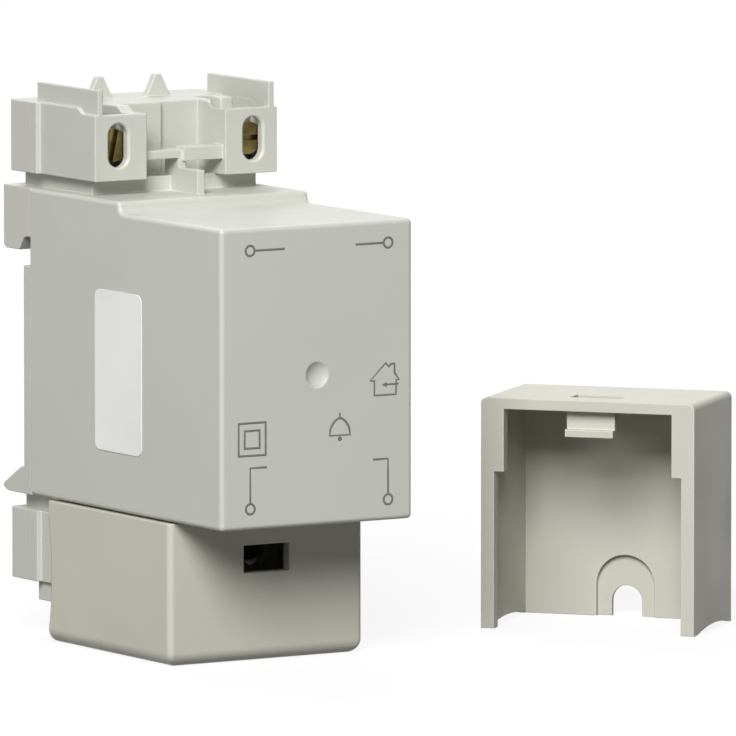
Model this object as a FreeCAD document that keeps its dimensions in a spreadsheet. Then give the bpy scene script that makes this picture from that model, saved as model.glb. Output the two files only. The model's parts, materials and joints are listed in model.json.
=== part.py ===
import FreeCAD, Part
import math
import os
import re

import Sketcher

# A two-module bell transformer for a 35 mm rail, with one terminal cover fitted and one taken off.
# Millimetres. X runs to the right, Y from the front to the rail, Z up.
# The origin is on the rail seat, on the rail's centre line.

Vector = FreeCAD.Vector
os.makedirs("parts", exist_ok=True)
doc = FreeCAD.newDocument("bell_transformer")

# Driving sizes, by sub-assembly
BODY = [
    ("body_width", 35.0), ("body_low", 21.8), ("face_high", 25.4), ("face_depth", 60.5),
    ("ledge_setback", 31.0), ("ledge_rise", 1.8), ("ledge_hollow", 1.2), ("wall", 1.8),
    ("edge_radius", 0.7), ("seam_setback", 2.1), ("fit", 0.1), ("dimple_radius", 2.1),
    ("dimple_depth", 0.7), ("rib_high", 1.6), ("rib_thick", 2.0), ("rib_place", 6.0),
]
TERMINALS = [
    ("terminal_setback", 39.5), ("block_inset", 0.75), ("block_front_high", 12.8),
    ("block_high", 13.7), ("block_slope_start", 4.0), ("block_slope_end", 5.4),
    ("block_flush", 1.9), ("block_back", 4.6), ("block_round", 1.0),
    ("neck_high", 2.4), ("neck_inset", 2.4), ("neck_setback", 3.7), ("neck_back", 3.5),
    ("gap_width", 14.5), ("gap_depth", 8.5), ("gap_step", 0.8), ("terminal_pitch", 24.8),
    ("flag_inset", 1.33), ("flag_thick", 0.9), ("flag_high", 16.8), ("flag_back", 2.2),
    ("flag_root", 0.8), ("tooth_pitch", 10.7), ("tooth_width", 5.2), ("tooth_tip", 1.0),
    ("tooth_thick", 1.2), ("tooth_back", 2.3), ("tooth_high", 17.2),
    ("bar_low", 4.9), ("bar_high", 7.1), ("bar_grow", 0.45), ("bar_front", 0.8),
    ("bar_thick", 2.6), ("web_front", 4.5), ("web_high", 3.8), ("web_thick", 1.3),
    ("pocket_width", 5.7), ("pocket_front", 1.5), ("pocket_long", 12.7), ("pocket_floor", 4.2),
    ("slot_width", 3.5), ("slot_high", 6.9), ("slot_level", 7.9), ("slot_chamfer", 0.3),
]
CLAMPS = [
    ("head_radius", 2.6), ("head_thick", 1.6), ("head_gap", 0.2), ("shank_radius", 1.7),
    ("shank_long", 5.2), ("drive_width", 0.9), ("drive_deep", 0.9), ("thread_fit", 0.05),
    ("cage_gap", 2.1), ("cage_wall", 1.2), ("cage_space", 6.3), ("cage_back", 1.0),
    ("cage_side", 0.8), ("cage_fit", 0.2), ("cage_high", 6.8), ("tag_thick", 0.8),
    ("tag_width", 3.2), ("tag_fit", 0.2), ("tag_top", 6.0), ("tag_tail", 9.0),
]
RAIL = [
    ("rail_high", 35.0), ("rail_thick", 1.0), ("hook_back", 6.2), ("hook_low", 17.1),
    ("hook_tip", 1.5), ("hook_top", 19.4), ("hook_lip", 0.9),
    ("pad_high", 14.7), ("pad_low", 17.3), ("wedge_drop", 3.2), ("wedge_back", 6.6),
    ("wedge_toe", 1.2), ("plate_thick", 1.8), ("post_size", 4.0), ("post_gap", 0.2),
]
LATCH = [
    ("latch_width", 10.0), ("latch_front", 0.8), ("latch_back", 3.6), ("latch_fit", 0.2),
    ("latch_grip", 2.1), ("latch_nose", 6.0), ("latch_end", 39.0), ("latch_rib", 0.9),
    ("latch_rib_low", 34.0), ("latch_rib_high", 26.0), ("latch_rib_front", 0.3),
    ("latch_rib_thick", 1.2), ("latch_waist", 1.05), ("window_width", 4.2),
    ("window_top", 25.0), ("window_low", 35.2), ("peg_high", 1.4), ("pry_width", 4.4),
    ("pry_thick", 1.6), ("pry_deep", 2.4), ("spring_radius", 1.4), ("spring_wire", 0.25),
    ("spring_pitch", 1.2),
]
COVER = [
    ("cover_width", 35.6), ("cover_deep", 37.2), ("cover_high", 22.6), ("cover_front", 15.2),
    ("cover_gap", 0.3), ("cover_end", 1.8), ("cover_face", 1.8), ("cover_side", 0.95),
    ("rim_high", 2.0), ("rim_side", 2.2), ("rim_front", 3.8), ("rim_step", 11.9),
    ("cover_round", 2.2), ("cover_corner", 1.0), ("sight_width", 8.4), ("sight_high", 4.4),
    ("sight_level", 4.2), ("hook_width", 8.0), ("hook_reach", 4.2), ("hook_plate", 1.4),
    ("hook_level", 1.8), ("hook_lip_rise", 1.1), ("hook_lip_thick", 1.2),
    ("notch_width", 5.1), ("notch_deep", 5.0), ("knockout_width", 9.8), ("knockout_deep", 10.0),
    ("knockout_thin", 0.9), ("sweep_rise", 0.9),
    ("loose_x", 61.2), ("loose_setback", 17.3), ("loose_turn", 50.0),
]
WORKS = [
    ("core_leg", 8.0), ("core_window", 24.0), ("core_stack", 20.0), ("core_gap", 0.2),
    ("core_front", 1.7), ("tube_fit", 0.2), ("tube_wall", 1.0), ("flange_thick", 1.2),
    ("flange_reach", 0.2), ("winding_fit", 0.15), ("winding_back", 0.6), ("winding_round", 1.5),
    ("flange_side", 0.5), ("fuse_radius", 2.2), ("fuse_long", 10.0), ("fuse_level", 12.0),
    ("lead_radius", 0.6), ("lead_bend", 2.5), ("lead_drop", 8.0),
    ("label_high", 25.4), ("label_wide", 14.2), ("label_front", 24.0), ("label_low", 12.4),
    ("label_thick", 0.12), ("label_round", 1.3),
]

sheet = doc.addObject("Spreadsheet::Sheet", "Sizes")
VALUES = {}
row = 0
for alias, value in BODY + TERMINALS + CLAMPS + RAIL + LATCH + COVER + WORKS:
    row += 1
    sheet.set(f"A{row}", alias)
    sheet.set(f"B{row}", str(value))
    sheet.setAlias(f"B{row}", alias)
    VALUES[alias] = value
doc.recompute()


# Helpers that tie shapes to the sheet

def size(alias):
    """The value of one named size."""
    return float(sheet.get(alias))


def tied(text):
    """An expression with its named sizes pointed at the sheet."""
    return re.sub(r"[a-z_]+", lambda m: "Sizes." + m.group() if m.group() in VALUES else m.group(), text)


def bind(thing, **texts):
    """Bind properties of an object to expressions."""
    for name, text in texts.items():
        thing.setExpression(name, tied(text))
    return thing


def place(thing, x, y, z, turn=None):
    """Bind an object's place, and turn it where a rotation is given."""
    if turn is not None:
        thing.Placement = FreeCAD.Placement(Vector(), turn)
    for axis, text in zip("xyz", (x, y, z)):
        thing.setExpression("Placement.Base." + axis, tied(text))
    return thing


def box(name, xs, ys, zs):
    """A block between low and high limits on each axis."""
    block = doc.addObject("Part::Box", name)
    bind(block, Length=f"({xs[1]}) - ({xs[0]})", Width=f"({ys[1]}) - ({ys[0]})",
         Height=f"({zs[1]}) - ({zs[0]})")
    return place(block, xs[0], ys[0], zs[0])


TOUCH = 0.01
ALONG_X = FreeCAD.Rotation(Vector(0, 1, 0), 90)
ALONG_Y = FreeCAD.Rotation(Vector(1, 0, 0), -90)


def rod(name, radius, length, x, y, z, turn=None):
    """A cylinder that starts at a point and runs along the turned axis."""
    cylinder = bind(doc.addObject("Part::Cylinder", name), Radius=radius, Height=length)
    return place(cylinder, x, y, z, turn)


def joined(name, *pieces):
    """Several shapes fused into one."""
    fuse = doc.addObject("Part::MultiFuse", name)
    fuse.Shapes = list(pieces)
    fuse.Refine = True
    return fuse


def less(name, base, *tools):
    """A shape with others cut out of it."""
    cut = doc.addObject("Part::Cut", name)
    cut.Base = base
    cut.Tool = tools[0] if len(tools) == 1 else joined(name + "_tools", *tools)
    cut.Refine = True
    return cut


def sketch(body, name, role, offset, points):
    """A closed outline on one of the body's own planes, each corner bound to the sheet."""
    drawing = body.newObject("Sketcher::SketchObject", name)
    plane = next(f for f in body.Origin.OriginFeatures if f.Role == role)
    drawing.AttachmentSupport = [(plane, "")]
    drawing.MapMode = "FlatFace"
    drawing.setExpression("AttachmentOffset.Base.z", tied(offset))
    count = len(points)
    turns = [2 * math.pi * i / count for i in range(count)]
    first = [Vector(math.cos(t), math.sin(t), 0) for t in turns]
    for i in range(count):
        drawing.addGeometry(Part.LineSegment(first[i], first[(i + 1) % count]))
    for i in range(count):
        drawing.addConstraint(Sketcher.Constraint("Coincident", i, 2, (i + 1) % count, 1))
    for i, (across, up) in enumerate(points):
        for kind, text, start in (("DistanceX", across, first[i].x), ("DistanceY", up, first[i].y)):
            index = drawing.addConstraint(Sketcher.Constraint(kind, -1, 1, i, 1, start))
            drawing.setExpression(f"Constraints[{index}]", tied(text))
    return drawing


def profile(name, role, points, low, high):
    """A body padded from an outline, between two limits along the plane's normal axis."""
    body = doc.addObject("PartDesign::Body", name)
    offset = f"-({high})" if role == "XZ_Plane" else low
    pad = body.newObject("PartDesign::Pad", name + "_pad")
    pad.Profile = sketch(body, name + "_outline", role, offset, points)
    bind(pad, Length=f"({high}) - ({low})")
    return body


def cut_through(body, name, role, points, low, high):
    """A pocket in a body, between two limits along the plane's normal axis."""
    pocket = body.newObject("PartDesign::Pocket", name)
    offset = f"-({low})" if role == "XZ_Plane" else high
    pocket.Profile = sketch(body, name + "_outline", role, offset, points)
    bind(pocket, Length=f"({high}) - ({low})")
    return pocket


def add_on(body, name, role, points, low, high):
    """One more pad on a body, between two limits along the plane's normal axis."""
    pad = body.newObject("PartDesign::Pad", name)
    offset = f"-({high})" if role == "XZ_Plane" else low
    pad.Profile = sketch(body, name + "_outline", role, offset, points)
    bind(pad, Length=f"({high}) - ({low})")
    return pad


def edges_at(shape, **places):
    """Names of the straight edges that lie at the given places, such as x=3.0 or along="Z"."""
    names = []
    for i, edge in enumerate(shape.Edges):
        box_of = edge.BoundBox
        spans = {"x": (box_of.XMin, box_of.XMax), "y": (box_of.YMin, box_of.YMax),
                 "z": (box_of.ZMin, box_of.ZMax)}
        fits = all(abs(spans[k][0] - v) < TOUCH and abs(spans[k][1] - v) < TOUCH
                   for k, v in places.items() if k != "along")
        if fits and "along" in places:
            low, high = spans[places["along"].lower()]
            fits = high - low > TOUCH
        if fits:
            names.append(f"Edge{i + 1}")
    return names


def rounded(body, name, alias, names, kind="Fillet"):
    """A fillet or chamfer on named edges of a body's tip."""
    base = body.Tip
    feature = body.newObject("PartDesign::" + kind, name)
    feature.Base = (base, names)
    bind(feature, **{"Radius" if kind == "Fillet" else "Size": alias})
    doc.recompute()
    return feature


def rect(xs, ys):
    """The four corners of a rectangle."""
    return [(xs[0], ys[0]), (xs[1], ys[0]), (xs[1], ys[1]), (xs[0], ys[1])]


def finish(thing, node):
    """Give a finished sub-part its label and add it to the list."""
    thing.Label = node
    NODES.append(thing)
    return thing


NODES = []
HALF = "body_width / 2"
FRONT = "-face_depth"
SEAM = "-seam_setback"
FLOOR = "-body_low"
FACE_TOP = "face_high"
LEDGE = "ledge_setback - face_depth"
LEDGE_TOP = "face_high + ledge_rise"
FACE = "terminal_setback - face_depth"
PITCH = "terminal_pitch / 2"
HALF_GAP = "gap_width / 2"
FLANGE = "(body_width / 2 - wall - flange_side)"
ENDS = ("upper", "lower")
SIDES = (("left", "-"), ("right", ""))


def level(end, height):
    """A height measured outwards from the upper or lower end of the body."""
    return f"{LEDGE_TOP} + ({height})" if end == "upper" else f"{FLOOR} - ({height})"


def span(end, near, far):
    """Low and high limits of a stretch measured outwards from an end of the body."""
    limits = (level(end, near), level(end, far))
    return limits if end == "upper" else limits[::-1]


def across(sign, near, far):
    """Low and high limits of a stretch on the left or right half."""
    return (near, far) if sign == "" else (f"-({far})", f"-({near})")


# Front housing: the box with its ledge

def housing_shell():
    """The outer form of the box, with its ledge and rounded edges."""
    outline = [(FRONT, FLOOR), (FRONT, FACE_TOP), (LEDGE, FACE_TOP), (LEDGE, LEDGE_TOP),
               (SEAM, LEDGE_TOP), (SEAM, FLOOR)]
    shell = profile("housing_shell", "YZ_Plane", outline, f"-{HALF}", HALF)
    doc.recompute()
    step = size("ledge_setback") - size("face_depth")
    hollow = edges_at(shell.Shape, y=step, z=size("face_high"))
    rounded(shell, "ledge_hollow_fillet", "ledge_hollow", hollow)
    side = size("body_width") / 2
    outer = edges_at(shell.Shape, y=-size("face_depth"))
    outer += edges_at(shell.Shape, y=step, along="X")
    for x in (-side, side):
        outer += edges_at(shell.Shape, x=x, along="Y")
        outer += edges_at(shell.Shape, x=x, y=step)
    rounded(shell, "outer_fillet", "edge_radius", sorted(set(outer)))
    return shell


def end_mass(end):
    """Neck, blocks, flags and teeth of one terminal end."""
    half_block = f"{HALF} - block_inset"
    top = [(FACE, level(end, "neck_high")), (FACE, level(end, "block_front_high")),
           (f"{FACE} + block_slope_start", level(end, "block_front_high")),
           (f"{FACE} + block_slope_end", level(end, "block_high")),
           (SEAM, level(end, "block_high")), (SEAM, level(end, "neck_high"))]
    neck_half = f"{HALF} - neck_inset"
    pieces = [
        box(end + "_neck", (f"-({neck_half})", neck_half), (f"{FACE} + neck_setback", SEAM),
            span(end, "-ledge_rise / 2", "neck_high")),
        profile(end + "_block", "YZ_Plane", top, f"-({half_block})", half_block),
        box(end + "_flush", (f"-{HALF}", HALF), (f"{SEAM} - block_flush", SEAM),
            span(end, "neck_high", "block_high")),
    ]
    outer = f"{HALF} - flag_inset"
    for side, sign in SIDES:
        pieces.append(box(f"{end}_flag_{side}", across(sign, f"{outer} - flag_thick", outer),
                          (FACE, "-flag_back"), span(end, "block_front_high - flag_root", "flag_high")))
        middle = f"{sign}tooth_pitch / 2"
        tooth = [(f"{middle} - tooth_width / 2", level(end, "block_high - flag_root")),
                 (f"{middle} + tooth_width / 2", level(end, "block_high - flag_root")),
                 (f"{middle} + tooth_tip / 2", level(end, "tooth_high")),
                 (f"{middle} - tooth_tip / 2", level(end, "tooth_high"))]
        pieces.append(profile(f"{end}_tooth_{side}", "XZ_Plane", tooth,
                              "-tooth_back - tooth_thick", "-tooth_back"))
    return pieces


def end_hollows(end):
    """Spaces cut out of one terminal end: the gap, the clamp pockets, screw slots and tag slots."""
    beyond = "flag_high + wall"
    tools = [
        box(end + "_gap", (f"-{HALF_GAP}", HALF_GAP),
            (f"{FACE} - wall", f"{FACE} + gap_depth - gap_step"), span(end, "neck_high", beyond)),
        box(end + "_gap_deep", ("0", HALF_GAP),
            (f"{FACE} + gap_depth - gap_step", f"{FACE} + gap_depth"), span(end, "neck_high", beyond)),
    ]
    for side, sign in SIDES:
        name = f"{end}_{side}"
        tools.append(box(name + "_pocket",
                         across(sign, f"{PITCH} - pocket_width / 2", f"{PITCH} + pocket_width / 2"),
                         (f"{FACE} + pocket_front", f"{FACE} + pocket_front + pocket_long"),
                         span(end, "pocket_floor", beyond)))
        straight = "(slot_high - slot_width) / 2"
        tools.append(box(name + "_slot",
                         across(sign, f"{PITCH} - slot_width / 2", f"{PITCH} + slot_width / 2"),
                         (f"{FACE} - wall", f"{FACE} + pocket_front + wall"),
                         span(end, f"slot_level - {straight}", f"slot_level + {straight}")))
        for place_name, shift in (("near", f"-{straight}"), ("far", straight)):
            tools.append(rod(f"{name}_slot_{place_name}", "slot_width / 2", "pocket_front + 2 * wall",
                             f"{sign}{PITCH}", f"{FACE} - wall",
                             level(end, f"slot_level + {shift}"), ALONG_Y))
        tools.append(box(name + "_tag_way",
                         across(sign, f"{PITCH} - tag_width / 2 - tag_fit",
                                f"{PITCH} + tag_width / 2 + tag_fit"),
                         (f"{TAG_FRONT} - tag_fit", f"{TAG_FRONT} + tag_thick + tag_fit"),
                         span(end, "-ledge_rise - 2 * wall", "pocket_floor + wall")))
    return tools


def end_trim(end):
    """Catch bar and centre web between the terminals of one end."""
    bar_start = f"{FACE} + bar_front"
    return [
        box(end + "_bar", (f"-{HALF_GAP}", "0"), (f"{bar_start} + bar_grow", f"{bar_start} + bar_thick"),
            span(end, "bar_low + bar_grow", "bar_high - bar_grow")),
        box(end + "_bar_tall", ("0", HALF_GAP), (bar_start, f"{bar_start} + bar_thick"),
            span(end, "bar_low", "bar_high")),
        box(end + "_web", ("-web_thick / 2", "web_thick / 2"),
            (f"{FACE} - web_front", f"{FACE} + neck_setback + wall"),
            span(end, "-ledge_rise / 2", "web_high")),
        box(end + "_web_tie", ("-web_thick / 2", "web_thick / 2"),
            (f"{bar_start} + bar_grow", f"{FACE} + neck_setback + wall"),
            span(end, "neck_high", "bar_high - bar_grow")),
    ]


HEAD_FRONT = f"{FACE} + pocket_front + head_gap"
TAG_FRONT = f"{HEAD_FRONT} + head_thick + shank_long + thread_fit"
CORE_FRONT = f"{FRONT} + wall + core_front"
CORE_BACK = f"{CORE_FRONT} + 6 * core_leg"


def housing():
    """The front moulding: shell, terminal ends, cavity and core ribs."""
    shell = housing_shell()
    mass = joined("housing_mass", shell, *end_mass("upper"), *end_mass("lower"))
    inside = f"{HALF} - wall"
    cavity = box("housing_cavity", (f"-({inside})", inside), (f"{FRONT} + wall", SEAM),
                 (f"{FLOOR} + wall", f"{FACE_TOP} - wall"))
    dimple = doc.addObject("Part::Sphere", "dimple")
    ball = "(dimple_radius * dimple_radius + dimple_depth * dimple_depth) / (2 * dimple_depth)"
    bind(dimple, Radius=ball)
    place(dimple, "0", f"{FRONT} + dimple_depth - {ball}", "(face_high - body_low) / 2")
    hollowed = less("housing_hollowed", mass, cavity, dimple, *end_hollows("upper"), *end_hollows("lower"))
    ribs = []
    for side, sign in SIDES:
        xs = across(sign, "rib_place", "rib_place + rib_thick")
        ys = (f"{FRONT} + wall", f"{CORE_BACK} - rib_thick")
        ribs.append(box("rib_low_" + side, xs, ys, (f"{FLOOR} + wall / 2", f"{FLOOR} + wall + rib_high")))
        ribs.append(box("rib_high_" + side, xs, ys,
                        (f"{FACE_TOP} - wall - rib_high", f"{FACE_TOP} - wall / 2")))
    whole = joined("housing_whole", hollowed, *ribs, *end_trim("upper"), *end_trim("lower"))
    doc.recompute()
    finish(chamfered_slots(whole), "housing")


def chamfered_slots(whole):
    """Soften the mouth of each screw slot in the terminal faces."""
    face = size("terminal_setback") - size("face_depth")
    reach = size("slot_high") / 2 + TOUCH
    top, low = size("face_high") + size("ledge_rise"), -size("body_low")
    centres = [Vector(sign * size("terminal_pitch") / 2, face, z)
               for sign in (-1, 1) for z in (top + size("slot_level"), low - size("slot_level"))]
    edges = []
    for i, edge in enumerate(whole.Shape.Edges):
        extent = edge.BoundBox
        flat = abs(extent.YMin - face) < TOUCH and abs(extent.YMax - face) < TOUCH
        narrow = extent.XLength <= size("slot_width") + TOUCH
        near = [c for c in centres if (edge.CenterOfMass - c).Length < reach
                and abs(edge.CenterOfMass.x - c.x) < size("slot_width") / 2 + TOUCH]
        if flat and narrow and near:
            edges.append((i + 1, size("slot_chamfer"), size("slot_chamfer")))
    chamfer = doc.addObject("Part::Chamfer", "slot_mouths")
    chamfer.Base = whole
    chamfer.Edges = edges
    return chamfer


# Rear base: rail hook, seat, wedges and the backs of the terminal blocks

def rear_base():
    """The rear moulding that closes the housing and seats on the rail."""
    low_seat = "-pad_low"
    seat = [(SEAM, FLOOR), (SEAM, "pad_high"), ("0", "pad_high"), ("0", low_seat),
            ("wedge_toe", f"{low_seat} - wedge_toe / 3"), ("hook_back", f"{low_seat} - wedge_drop"),
            ("wedge_back", f"{low_seat} - wedge_drop - wedge_toe / 2"),
            ("wedge_back - wedge_toe", f"{low_seat} - wedge_drop - wedge_toe"),
            ("wedge_back - 2 * wedge_toe", FLOOR)]
    hook = [(SEAM, LEDGE_TOP), (SEAM, "hook_top"), ("-hook_lip", "hook_top"),
            ("0", "hook_top - hook_lip / 3"), ("hook_tip", "hook_low"), ("hook_back - hook_lip", "hook_low"),
            ("hook_back", "hook_low + hook_lip / 2"), ("hook_back", LEDGE_TOP)]
    inside = f"{HALF} - wall - fit"
    neck_half = f"{HALF} - neck_inset"
    pieces = [
        profile("rail_seat", "YZ_Plane", seat, f"-{HALF}", HALF),
        profile("rail_hook", "YZ_Plane", hook, f"-{HALF}", HALF),
        box("base_plate", (f"-({inside})", inside), (f"{SEAM} - plate_thick", SEAM),
            (f"{FLOOR} + wall + fit", f"{FACE_TOP} - wall - fit")),
    ]
    for end in ENDS:
        back = profile(end + "_back", "XY_Plane", rect((f"-{HALF}", HALF), (SEAM, "block_back")),
                       *span(end, "neck_high", "block_high"))
        doc.recompute()
        corners = []
        for x in (-size("body_width") / 2, size("body_width") / 2):
            corners += edges_at(back.Shape, x=x, y=size("block_back"))
        rounded(back, end + "_back_fillet", "block_round", corners)
        pieces.append(back)
        pieces.append(box(end + "_back_neck", (f"-({neck_half})", neck_half), (SEAM, "neck_back"),
                          span(end, "-ledge_rise / 2", "neck_high + fit")))
    for side, sign in SIDES:
        for end, z in (("top", f"{FACE_TOP} - wall - rib_high - core_leg"),
                       ("foot", f"{FLOOR} + wall + rib_high")):
            pieces.append(box(f"post_{end}_{side}",
                              across(sign, "rib_place - post_size / 2", "rib_place + post_size / 2"),
                              (f"{CORE_BACK} + post_gap", SEAM), (z, f"{z} + post_size")))
    mass = joined("base_mass", *pieces)
    half_way = "latch_width / 2 + latch_fit"
    way = box("latch_way", (f"-({half_way})", half_way), ("-latch_front - latch_fit", "wedge_back + wall"),
              ("-latch_end - wall", "-rail_high / 2 + latch_grip + wall"))
    rib_half = "latch_width / 2 + latch_rib + latch_fit"
    groove = box("latch_groove", (f"-({rib_half})", rib_half),
                 ("latch_rib_front - latch_fit", "latch_rib_front + latch_rib_thick + latch_fit"),
                 ("-latch_end - wall", "-latch_rib_high + latch_fit"))
    peg = box("spring_peg", ("-(window_width / 2 - latch_fit)", "window_width / 2 - latch_fit"),
              ("-latch_front - wall / 2", "latch_back - latch_fit"),
              ("-window_low + latch_fit", "-window_low + latch_fit + peg_high"))
    finish(joined("base_whole", less("base_cut", mass, way, groove), peg), "rear_base")


def rail_latch():
    """The sliding latch that grips the lower edge of the rail."""
    edge = "-rail_high / 2 - latch_fit"
    grip = "-rail_high / 2 + latch_grip"
    front = "rail_thick + latch_fit"
    side = [("-latch_front", "-latch_end"), ("-latch_front", edge), (front, edge), (front, grip),
            (f"{front} + rail_thick", grip), ("latch_nose", f"{grip} - 2 * latch_grip"),
            ("latch_nose", f"{grip} - 3 * latch_grip"),
            ("latch_back", f"{grip} - 3 * latch_grip - latch_waist"), ("latch_back", "-latch_end")]
    latch = profile("latch", "YZ_Plane", side, "-latch_width / 2", "latch_width / 2")
    half_window = "window_width / 2"
    cut_through(latch, "latch_window", "XZ_Plane",
                rect((f"-{half_window}", half_window), ("-window_low", "-window_top")),
                "-latch_front - wall", "latch_back + wall")
    cut_through(latch, "pry_slot", "XY_Plane",
                rect(("-pry_width / 2", "pry_width / 2"), ("pry_thick / 3", "4 * pry_thick / 3")),
                "-latch_end - wall", "-latch_end + pry_deep")
    for side_name, sign in SIDES:
        xs = across(sign, "latch_width / 2 - latch_rib", "latch_width / 2 + latch_rib")
        add_on(latch, "latch_rib_" + side_name, "XY_Plane",
               rect(xs, ("latch_rib_front", "latch_rib_front + latch_rib_thick")),
               "-latch_rib_low", "-latch_rib_high")
    finish(latch, "rail_latch")


def latch_spring():
    """The coil spring between the base's peg and the top of the latch's window."""
    low = -size("window_low") + size("latch_fit") + size("peg_high") + size("fit")
    high = -size("window_top") - size("fit")
    wire = size("spring_wire")
    radius = size("spring_radius")
    middle = (size("latch_back") - size("latch_front")) / 2
    helix = Part.makeHelix(size("spring_pitch"), high - low - 2 * wire, radius)
    ring = Part.Wire(Part.makeCircle(wire, Vector(radius, 0, 0), Vector(0, 1, 0)))
    coil = Part.Wire(helix).makePipeShell([ring], True, True)
    spring = doc.addObject("Part::Feature", "spring")
    spring.Shape = coil
    spring.Placement = FreeCAD.Placement(Vector(0, middle, low + wire), FreeCAD.Rotation())
    finish(spring, "latch_spring")


# Terminal covers: the rim runs in the groove between the body and the terminal blocks

def cover(name, node):
    """One cover in its own frame: rim up at Z 0, face at Y 0, open towards +Y."""
    half = "cover_width / 2"
    shell = profile(name, "XY_Plane", rect((f"-{half}", half), ("0", "cover_deep")), "-cover_high", "0")
    doc.recompute()
    side, low = size("cover_width") / 2, -size("cover_high")
    bottom = edges_at(shell.Shape, z=low, y=0.0)
    for x in (-side, side):
        bottom += edges_at(shell.Shape, x=x, z=low)
    rounded(shell, name + "_end_fillet", "cover_round", sorted(set(bottom)))
    corners = []
    for x in (-side, side):
        corners += edges_at(shell.Shape, x=x, y=0.0)
    rounded(shell, name + "_corner_fillet", "cover_corner", corners)
    inner = f"{half} - cover_side"
    cut_through(shell, name + "_inside", "XY_Plane",
                rect((f"-({inner})", inner), ("cover_face", "cover_deep + wall")),
                "-cover_high + cover_end", "-rim_high")
    thick, thin = f"{half} - rim_front", f"{half} - rim_side"
    mouth = [(f"-({thick})", "cover_face"), (thick, "cover_face"), (thick, "rim_step"), (thin, "rim_step"),
             (thin, "cover_deep + wall"), (f"-({thin})", "cover_deep + wall"), (f"-({thin})", "rim_step"),
             (f"-({thick})", "rim_step")]
    cut_through(shell, name + "_mouth", "XY_Plane", mouth, "-rim_high - fit", "wall")
    sight = rect(("-sight_width / 2", "sight_width / 2"), ("-sight_level - sight_high", "-sight_level"))
    cut_through(shell, name + "_sight", "XZ_Plane", sight, "-wall", "cover_face + fit")
    tab = rect(("-hook_width / 2", "hook_width / 2"), ("-hook_level - hook_plate", "-hook_level"))
    add_on(shell, name + "_hook", "XZ_Plane", tab, "cover_face / 2", "cover_face + hook_reach")
    lip = rect(("-hook_width / 2", "hook_width / 2"), ("-hook_level - fit", "-hook_level + hook_lip_rise"))
    add_on(shell, name + "_lip", "XZ_Plane", lip, "cover_face + hook_reach - hook_lip_thick",
           "cover_face + hook_reach")
    cut_arch(shell, name + "_knockout", "knockout_width", "knockout_deep",
             "-cover_high + cover_end - knockout_thin", "-cover_high + 2 * cover_end")
    cut_arch(shell, name + "_notch", "notch_width", "notch_deep", "-cover_high - wall",
             "-cover_high + 2 * cover_end")
    rise = "sweep_rise"
    bow = f"((cover_high / 2 - rim_high) ^ 2 + {rise} ^ 2) / (2 * {rise})"
    sweep = rod(name + "_sweep", bow, "2 * cover_width", "-cover_width", f"cover_deep + {bow} - {rise}",
                "-cover_high / 2", ALONG_X)
    whole = less(name + "_whole", shell, sweep)
    return finish(whole, node)


def cut_arch(body, name, width, deep, low, high):
    """A round-ended cut in the end wall, open at the cover's rear edge."""
    drawing = body.newObject("Sketcher::SketchObject", name + "_outline")
    plane = next(f for f in body.Origin.OriginFeatures if f.Role == "XY_Plane")
    drawing.AttachmentSupport = [(plane, "")]
    drawing.MapMode = "FlatFace"
    drawing.setExpression("AttachmentOffset.Base.z", tied(high))
    half = size(width) / 2
    back = size("cover_deep") + size("wall")
    centre = size("cover_deep") - size(deep) + half
    left, right = Vector(-half, centre, 0), Vector(half, centre, 0)
    arc = Part.ArcOfCircle(Part.Circle(Vector(0, centre, 0), Vector(0, 0, 1), half), math.pi, 2 * math.pi)
    drawing.addGeometry(arc)
    drawing.addGeometry(Part.LineSegment(right, Vector(half, back, 0)))
    drawing.addGeometry(Part.LineSegment(Vector(half, back, 0), Vector(-half, back, 0)))
    drawing.addGeometry(Part.LineSegment(Vector(-half, back, 0), left))
    for one, end, other, start in ((0, 2, 1, 1), (1, 2, 2, 1), (2, 2, 3, 1), (3, 2, 0, 1)):
        drawing.addConstraint(Sketcher.Constraint("Coincident", one, end, other, start))
    drawing.addConstraint(Sketcher.Constraint("Vertical", 1))
    drawing.addConstraint(Sketcher.Constraint("Vertical", 3))
    drawing.addConstraint(Sketcher.Constraint("Horizontal", 2))
    centre_text = f"cover_deep - {deep} + {width} / 2"
    for kind, args, text in (("DistanceX", (-1, 1, 0, 1, -half), f"-{width} / 2"),
                             ("DistanceX", (-1, 1, 0, 2, half), f"{width} / 2"),
                             ("DistanceY", (-1, 1, 0, 1, centre), centre_text),
                             ("DistanceY", (-1, 1, 0, 2, centre), centre_text),
                             ("DistanceY", (-1, 1, 0, 3, centre), centre_text),
                             ("DistanceY", (-1, 1, 1, 2, back), "cover_deep + wall")):
        index = drawing.addConstraint(Sketcher.Constraint(kind, *args))
        drawing.setExpression(f"Constraints[{index}]", tied(text))
    pocket = body.newObject("PartDesign::Pocket", name)
    pocket.Profile = drawing
    bind(pocket, Length=f"({high}) - ({low})")
    return pocket


def covers():
    """The fitted cover, and the one that is off and stands on its open rear edges."""
    fitted = cover("fitted", "lower_cover")
    place(fitted, "0", "cover_front - face_depth", f"{FLOOR} - cover_gap")
    loose = cover("loose", "upper_cover")
    upright = FreeCAD.Rotation(Vector(1, 0, 0), -90)
    facing = FreeCAD.Rotation(Vector(0, 0, 1), 180 - size("loose_turn"))
    place(loose, "loose_x", "loose_setback - face_depth", f"{FLOOR} - cover_gap - cover_high + cover_deep",
          facing.multiply(upright))


# Clamps: in each pocket a screw, a cage that it draws forward, and a fixed contact tag

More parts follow.
